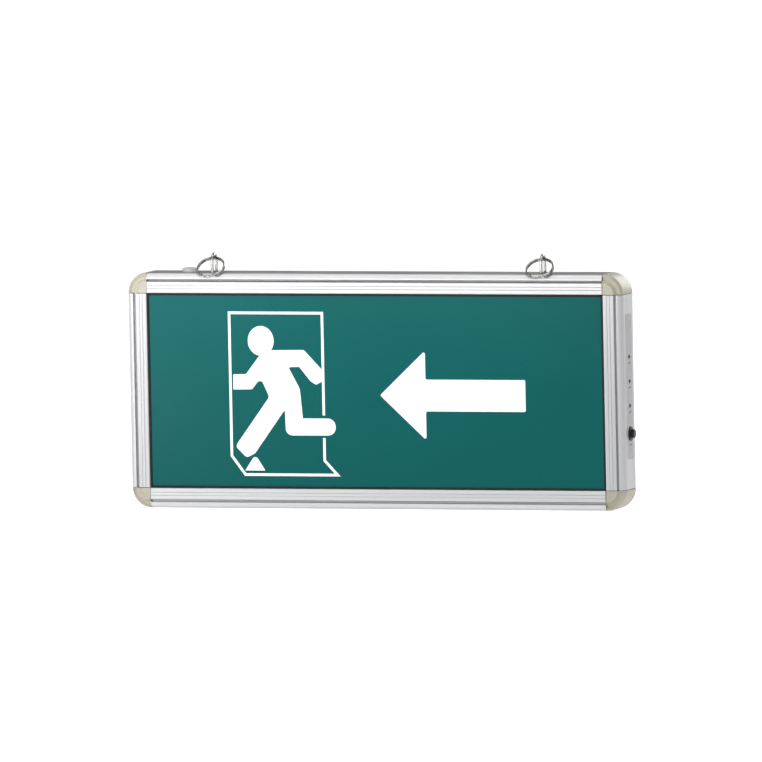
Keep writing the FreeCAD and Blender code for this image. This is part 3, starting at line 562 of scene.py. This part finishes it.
indicators = ("indicator_mains", "indicator_charge", "indicator_fault")
lamp_heights = [mid_height(name) for name in indicators]
button_height = mid_height("test_button")
strip_half, strip_foot, strip_head, strip_round = 6.5, 35, 135, 1.5
lamp_hole, button_hole = 2.0, 5.3
outlines = [rounded([(-strip_half, strip_foot, strip_round), (strip_half, strip_foot, strip_round),
                     (strip_half, strip_head, strip_round), (-strip_half, strip_head, strip_round)])]
outlines += [oval((0, height), lamp_hole, lamp_hole, count=40) for height in lamp_heights]
outlines.append(oval((0, button_height), button_hole, button_hole, count=40))
film_thick = 0.12
onto_side = Matrix(((0, 0, 1, half_width / 1000), (1, 0, 0, 0), (0, 1, 0, 0), (0, 0, 0, 1)))
new_piece("label_strip", cut_sheet(outlines, 2 * film_thick, onto_side), film, "housing")
bars = [bar(half_length=2.6, foot=height - 5.2, slant=1.0, breadth=0.8) for height in lamp_heights]
bars.append(bar(half_length=2.2, foot=button_height - 8.0, slant=0, breadth=0.6))
bar_thick = 0.06
onto_film = Matrix.Translation((film_thick / 1000, 0, 0)) @ onto_side
new_piece("strip_bars", cut_sheet(bars, bar_thick, onto_film), film_ink, "housing")

# ------------------------------------------------------------------ Indicators and test button
# Three smoked lenses stand just proud of the side. The test button is a black push cap that slides
# in a black flanged bezel snapped into the rail.
smoked, tree, shader, place = new_finish("smoked_lens", (0.03, 0.035, 0.035), 0.14, specular=0.5)
mottle_and_painted_reflection(tree, shader, place, 500, (0.022, 0.026, 0.026), (0.045, 0.05, 0.05))
wear(tree, shader, place, 2500, 0.10, 0.2)
shader.inputs["Coat Weight"].default_value = 0.3
for name in indicators:
    paint(name, smoked)
black_plastic, tree, shader, place = new_finish("black_plastic", (0.016, 0.016, 0.017), 0.42, specular=0.25)
mottle_and_painted_reflection(tree, shader, place, 400, (0.010, 0.010, 0.011), (0.022, 0.022, 0.024))
wear(tree, shader, place, 1500, 0.34, 0.52)
relief(tree, shader, grain(tree, place, 5000), 0.00001, 0.35)
paint("button_bezel", black_plastic)
paint("test_button", black_plastic)

# ------------------------------------------------------------------ Hanging eyes and split rings
# The eyes are staples of bright-plated steel wire, held by washers under the rail. The rings are
# two turns of harder chromed wire, free to swing in the eyes.
plated, tree, shader, place = new_finish("bright_plating", (0.62, 0.62, 0.60), 0.16, metallic=1.0)
# The colour swings between dark and light in small patches as painted reflections, and is darkened in
# crevices as painted shade.
mottle_and_painted_reflection(tree, shader, place, 700, (0.16, 0.16, 0.155), (0.60, 0.60, 0.58), detail=3.0)
paint_crevice_shade(tree, shader, reach=0.002, deepest=0.15)
wear(tree, shader, place, 1800, 0.12, 0.26)
relief(tree, shader, grain(tree, place, 1600, stretch=(1, 1, 0.1)), 0.00001, 0.3)
for name in ("left_eye", "right_eye", "eye_washers"):
    paint(name, plated)
chrome, tree, shader, place = new_finish("ring_chrome", (0.55, 0.54, 0.52), 0.1, metallic=1.0)
# The colour swings between dark and light in small patches as painted reflections, and is darkened in
# crevices as painted shade.
mottle_and_painted_reflection(tree, shader, place, 350, (0.10, 0.098, 0.094), (0.58, 0.57, 0.545), detail=3.0)
paint_crevice_shade(tree, shader, reach=0.002, deepest=0.15)
wear(tree, shader, place, 1500, 0.07, 0.18)
paint("left_ring", chrome)
paint("right_ring", chrome)

# ------------------------------------------------------------------ Cable bush
# A pale bush, moulded in one piece of soft rubber, is snapped into a hole in the top rail. The
# supply lead would come in through its bore, clear of the metal's edge.
pale_rubber, tree, shader, place = new_finish("pale_rubber", (0.56, 0.56, 0.57), 0.55, specular=0.3)
mottle_and_painted_reflection(tree, shader, place, 200, (0.52, 0.52, 0.53), (0.60, 0.60, 0.61))
wear(tree, shader, place, 1500, 0.48, 0.66)
relief(tree, shader, grain(tree, place, 3500), 0.00001, 0.4)
paint("cable_bush", pale_rubber)

# ------------------------------------------------------------------ Rear panel
# A plain white styrene sheet closes the back. It is slid into the rails' rear slots, as the legend
# panel is into the front ones.
styrene, tree, shader, place = new_finish("white_styrene", (0.78, 0.78, 0.765), 0.45, specular=0.4)
mottle_and_painted_reflection(tree, shader, place, 30, (0.75, 0.75, 0.735), (0.80, 0.80, 0.785), detail=3.0)
wear(tree, shader, place, 800, 0.38, 0.55)
relief(tree, shader, grain(tree, place, 1800, 3.0), 0.00003, 0.35)
paint("rear_panel", styrene)

# ------------------------------------------------------------------ Optical sheets
# Behind the legend lie a milky diffuser, a clear acrylic light guide lit from its top edge, and a
# white reflector sheet.
milky, tree, shader, place = new_finish("milky_sheet", (0.85, 0.86, 0.86), 0.5, specular=0.4)
mottle_and_painted_reflection(tree, shader, place, 50, (0.82, 0.83, 0.83), (0.87, 0.88, 0.88))
wear(tree, shader, place, 1200, 0.45, 0.6)
paint("diffuser_sheet", milky)
paint("reflector_sheet", milky)
clear, tree, shader, place = new_finish("clear_acrylic", (0.93, 0.96, 0.95), 0.06, specular=0.5)
shader.inputs["Transmission Weight"].default_value = 0.9
shader.inputs["IOR"].default_value = 1.49
wear(tree, shader, place, 1600, 0.04, 0.10)
paint("light_guide", clear)

# ------------------------------------------------------------------ Chassis, tray and boards
# Folded zinc-plated sheet steel carries everything inside. The battery tray is white ABS. The charger
# board is screwed to the chassis, and the small side board stands behind the indicators and button.
zinc, tree, shader, place = new_finish("zinc_sheet", (0.62, 0.64, 0.65), 0.4, metallic=0.85)
spangle = tree.nodes.new("ShaderNodeTexVoronoi")
spangle.inputs["Scale"].default_value = 240
tree.links.new(place, spangle.inputs["Vector"])
shade(tree, spangle.outputs["Distance"], shader.inputs["Base Color"], (0.55, 0.57, 0.58), (0.68, 0.70, 0.71))
wear(tree, shader, place, 900, 0.32, 0.5)
paint("chassis", zinc)
paint("board_screws", zinc)
tray_white, tree, shader, place = new_finish("tray_abs", (0.70, 0.70, 0.68), 0.5, specular=0.4)
mottle_and_painted_reflection(tree, shader, place, 80, (0.67, 0.67, 0.65), (0.73, 0.73, 0.71))
relief(tree, shader, grain(tree, place, 2500, 3.0), 0.00002, 0.35)
paint("battery_tray", tray_white)
green_mask, tree, shader, place = new_finish("green_solder_mask", (0.012, 0.11, 0.045), 0.3, specular=0.5)
mottle_and_painted_reflection(tree, shader, place, 260, (0.009, 0.09, 0.035), (0.018, 0.135, 0.06), detail=3.0)
relief(tree, shader, grain(tree, place, 1400), 0.00002, 0.3)
paint("charger_board", green_mask)
paint("side_board", green_mask)

# ------------------------------------------------------------------ Lamps
# Eighteen small warm lamps are soldered in a row to a narrow white board, and shine down into the
# edge of the light guide.
white_mask, tree, shader, place = new_finish("white_solder_mask", (0.80, 0.80, 0.79), 0.35, specular=0.5)
mottle_and_painted_reflection(tree, shader, place, 400, (0.77, 0.77, 0.76), (0.83, 0.83, 0.82))
paint("led_board", white_mask)
phosphor, tree, shader, place = new_finish("lamp_phosphor", (0.85, 0.68, 0.16), 0.35, specular=0.5)
mottle_and_painted_reflection(tree, shader, place, 900, (0.80, 0.60, 0.10), (0.88, 0.74, 0.22))
paint("led_lamps", phosphor)

# ------------------------------------------------------------------ Charger parts
# The transformer, relay, terminal block and test switch are black mouldings, and the capacitors are
# cans in blue sleeves. The three battery cells have green sleeves.
moulded, tree, shader, place = new_finish("component_black", (0.03, 0.03, 0.032), 0.5, specular=0.4)
mottle_and_painted_reflection(tree, shader, place, 500, (0.022, 0.022, 0.024), (0.042, 0.042, 0.045))
relief(tree, shader, grain(tree, place, 4000), 0.00001, 0.4)
for name in ("transformer", "relay", "terminal_block", "test_switch"):
    paint(name, moulded)
blue_sleeve, tree, shader, place = new_finish("blue_sleeve", (0.02, 0.06, 0.22), 0.3, specular=0.5)
mottle_and_painted_reflection(tree, shader, place, 300, (0.015, 0.05, 0.18), (0.03, 0.08, 0.27))
paint("capacitors", blue_sleeve)
green_sleeve, tree, shader, place = new_finish("green_sleeve", (0.03, 0.26, 0.09), 0.3, specular=0.5)
mottle_and_painted_reflection(tree, shader, place, 200, (0.02, 0.22, 0.07), (0.05, 0.31, 0.12))
paint("battery_cells", green_sleeve)
